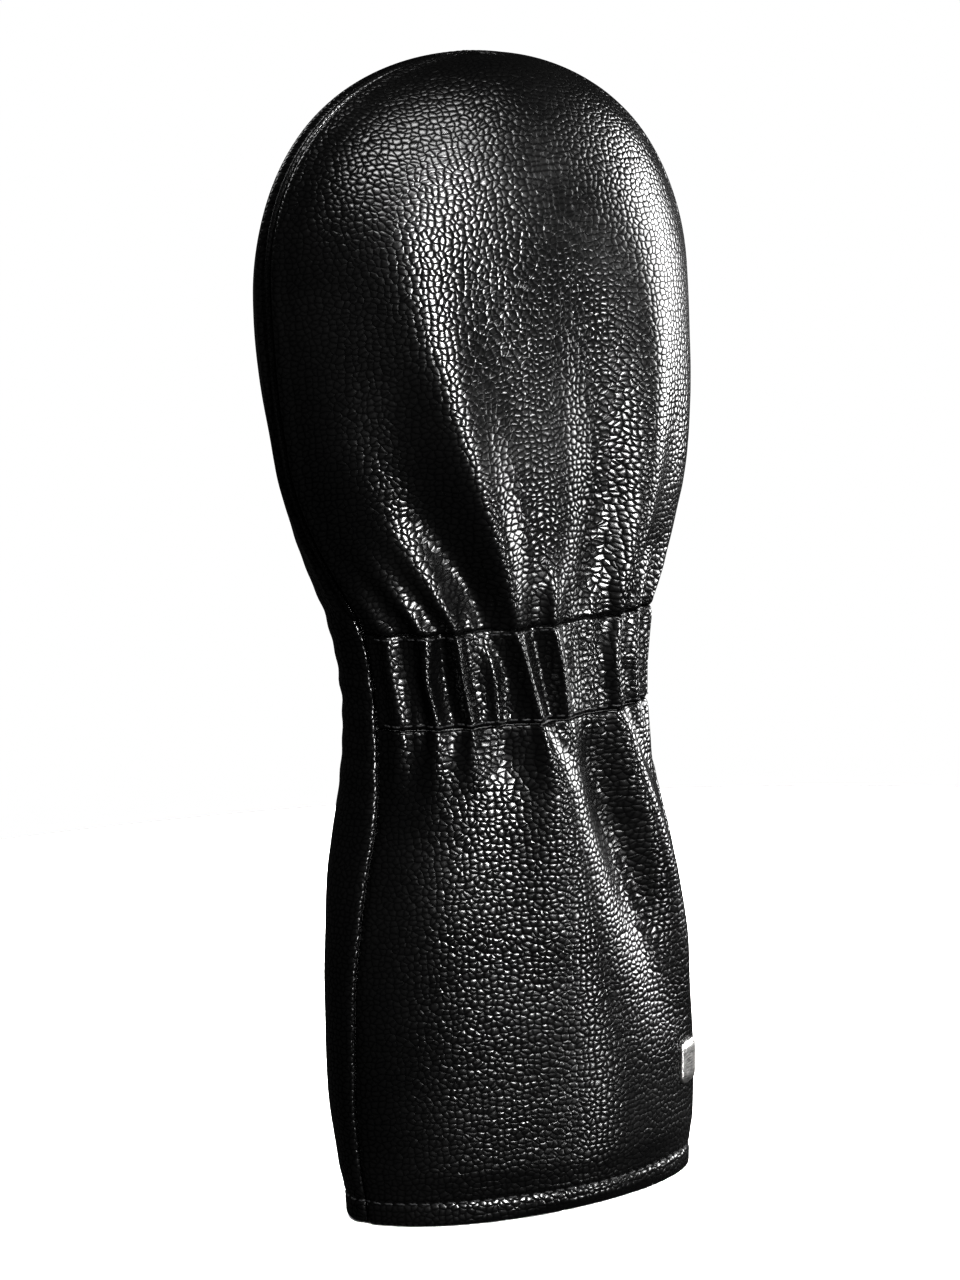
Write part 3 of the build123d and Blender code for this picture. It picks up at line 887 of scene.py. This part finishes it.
# ---- badge -----------------------------------------------------------------------------
def badge_plate(width, height, thickness):
    """A blank plate with rounded corners and eased edges, laid on the skirt's right side."""
    centre = (badge_low + badge_high) / 2
    vertices = [v.co.copy() for v in skirt_panel.data.vertices]
    tree = BVHTree.FromPolygons(vertices, [p.vertices[:] for p in skirt_panel.data.polygons])
    outward = Vector((centre[0] / hem_width ** 2, centre[1] / hem_depth ** 2, 0)).normalized()
    across = Vector((-outward.y, outward.x, 0))
    corner, eased = badge_corner, badge_eased_edge
    profile = ((0.0, -0.15), (0.0, thickness - eased), (eased, thickness), (3.0, thickness), (5.0, thickness))
    loops = []
    for inset, lift in profile:
        loop = []
        for step in range(64):
            turn = 2 * math.pi * step / 64
            sideways, upwards = math.cos(turn), math.sin(turn)
            reach = 1 / max(abs(sideways) / (width / 2 - inset), abs(upwards) / (height / 2 - inset))
            x, z = reach * sideways, reach * upwards
            limit_x, limit_z = width / 2 - corner, height / 2 - corner
            if abs(x) > limit_x and abs(z) > limit_z:
                dx, dz = abs(x) - limit_x, abs(z) - limit_z
                scale = (corner - min(inset, 1.6)) / math.hypot(dx, dz)
                x = math.copysign(limit_x + dx * min(1, scale), x)
                z = math.copysign(limit_z + dz * min(1, scale), z)
            base = (Vector(centre) + across * x + Vector((0, 0, z))) * MM
            hit, normal = tree.ray_cast(base + outward * 0.02, -outward)[:2]
            loop.append(np.array(hit if hit is not None else base) / MM + np.array(outward) * lift)
        loops.append(loop)
    rings = np.array(loops)
    return tubes_object("blank_badge", [rings[::-1]])


plate = badge_plate(badge_width, badge_high[2] - badge_low[2], badge_thickness)
finish_piece(plate, steel, "badge_plate", "cover")
for node in ("badge_backing_plate", "badge_rivets"):
    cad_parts[node].data.materials.clear()
    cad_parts[node].data.materials.append(steel)

# ---- studio ------------------------------------------------------------------------------
light_aim_z = 0.17


def direction(azimuth, elevation):
    """Unit vector towards a place round the object; azimuth 0 is in front, on -Y."""
    a, e = math.radians(azimuth), math.radians(elevation)
    return Vector((math.sin(a) * math.cos(e), -math.cos(a) * math.cos(e), math.sin(e)))


def area_light(name, azimuth, elevation, distance, width, height, power):
    """A soft box that looks at the middle of the cover."""
    data = bpy.data.lights.new(name, "AREA")
    data.shape = "RECTANGLE"
    data.size = width
    data.size_y = height
    data.energy = power
    light = bpy.data.objects.new(name, data)
    aim = Vector((0, 0, light_aim_z))
    light.location = aim + direction(azimuth, elevation) * distance
    light.rotation_euler = (aim - light.location).to_track_quat("-Z", "Y").to_euler()
    bpy.context.scene.collection.objects.link(light)
    return light


def studio():
    """A small pale floor under its own light, and soft boxes in front, on the right, above and behind."""
    bpy.ops.mesh.primitive_circle_add(vertices=128, radius=0.6, fill_type="NGON", location=(0, 0, -0.0004))
    floor = bpy.context.object
    floor.name = "floor"
    floor.data.materials.append(floor_material())
    floor.visible_glossy = False
    floor.visible_diffuse = False
    floor.visible_shadow = False
    area_light("front_strip", 1, 14, 1.2, 0.13, 0.8, 46.0)
    area_light("low_box", 34, -17, 1.2, 0.18, 0.18, 7.0)
    area_light("right_box", 86, 9, 1.2, 0.85, 0.8, 50.0)
    area_light("high_box", -14, 54, 1.5, 1.3, 0.45, 34.0)
    area_light("back_box", 200, 35, 1.6, 0.4, 0.8, 6.0)
    floor_only = bpy.data.collections.new("floor_only")
    floor_only.objects.link(floor)
    overhead = area_light("floor_light", 0, 90, 2.4, 2.2, 2.2, 260.0)
    overhead.light_linking.receiver_collection = floor_only
    world = bpy.data.worlds.new("pale_room")
    bpy.context.scene.world = world
    world.use_nodes = True
    tree = world.node_tree
    background = tree.nodes["Background"]
    background.inputs["Color"].default_value = (1.0, 1.0, 1.0, 1)
    seen = tree.nodes.new("ShaderNodeLightPath").outputs["Is Camera Ray"]
    strength = tree.nodes.new("ShaderNodeMapRange")
    tree.links.new(seen, strength.inputs["Value"])
    strength.inputs["To Min"].default_value = 0.03
    strength.inputs["To Max"].default_value = 1.0
    tree.links.new(strength.outputs[0], background.inputs["Strength"])
    bpy.context.scene.view_settings.view_transform = "Standard"
    bpy.context.scene.view_settings.gamma = 0.8


def camera(azimuth, elevation, distance, aim_z, shift_right, picture_height, roll):
    """A long lens at the height of the neck, rolled a little."""
    towards = direction(azimuth, elevation)
    right = Vector((-towards.y, towards.x, 0)).normalized()
    aim = Vector((0, 0, aim_z)) - right * shift_right
    data = bpy.data.cameras.new("camera")
    data.sensor_fit = "VERTICAL"
    data.sensor_height = 36.0
    data.lens = 36.0 * distance / picture_height
    eye = bpy.data.objects.new("camera", data)
    eye.location = aim + towards * distance
    level = (aim - eye.location).to_track_quat("-Z", "Y").to_matrix()
    eye.rotation_euler = (level @ Matrix.Rotation(math.radians(roll), 3, "Z")).to_euler()
    bpy.context.scene.collection.objects.link(eye)
    bpy.context.scene.camera = eye


studio()
camera(azimuth=-25, elevation=9, distance=1.1, aim_z=0.1675, shift_right=0.0034,
       picture_height=0.378, roll=-3.0)
